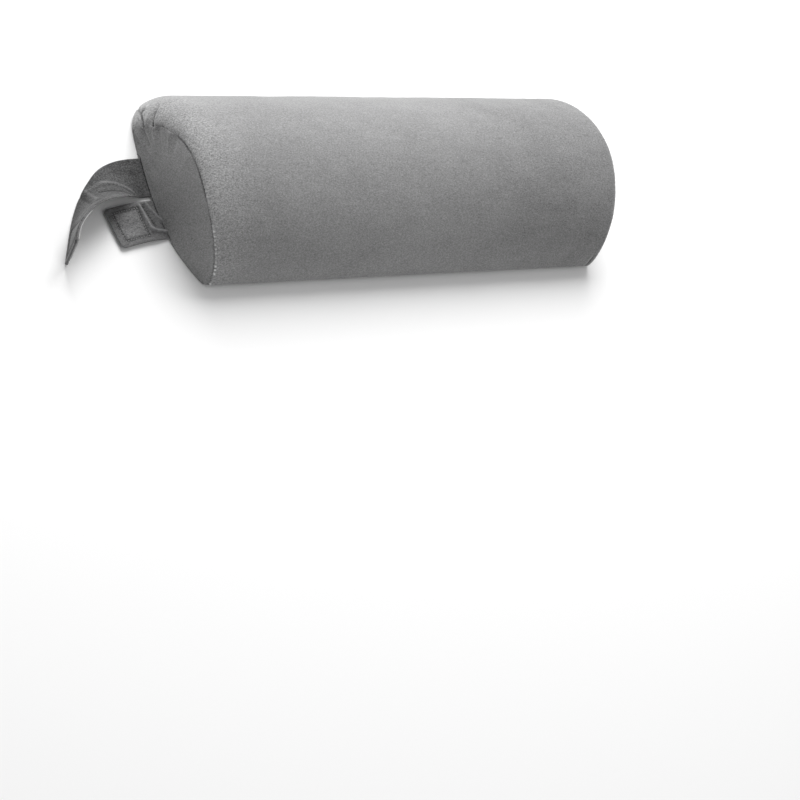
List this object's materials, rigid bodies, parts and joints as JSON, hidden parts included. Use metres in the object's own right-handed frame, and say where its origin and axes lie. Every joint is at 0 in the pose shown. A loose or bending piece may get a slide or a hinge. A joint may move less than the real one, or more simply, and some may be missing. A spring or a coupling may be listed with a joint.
{
  "type": "headrest pillow",
  "caption": "Half-moon headrest bolster in a grey velvet cover, flat at the back, with a short and a long strap for tying it round a backrest.",
  "frame": {"origin": "centre of the flat back, on the surface that the pillow lies on", "axes": "+X along the bolster, +Y towards its upper edge in use, +Z out of the flat back through the crown"},
  "size_m": [0.7897, 0.2298, 0.0965],
  "materials": {
    "cover": "short velvet pile with a soft sheen",
    "strap": "the same velvet sewn double",
    "loop_tape": "brushed loop pile",
    "hook_tape": "fine moulded hooks"
  },
  "bodies": {
    "root": {"pillow": "cover", "short_strap": "strap", "long_strap": "strap", "loop_tape": "loop_tape", "hook_tape": "hook_tape"}
  },
  "joints": []
}
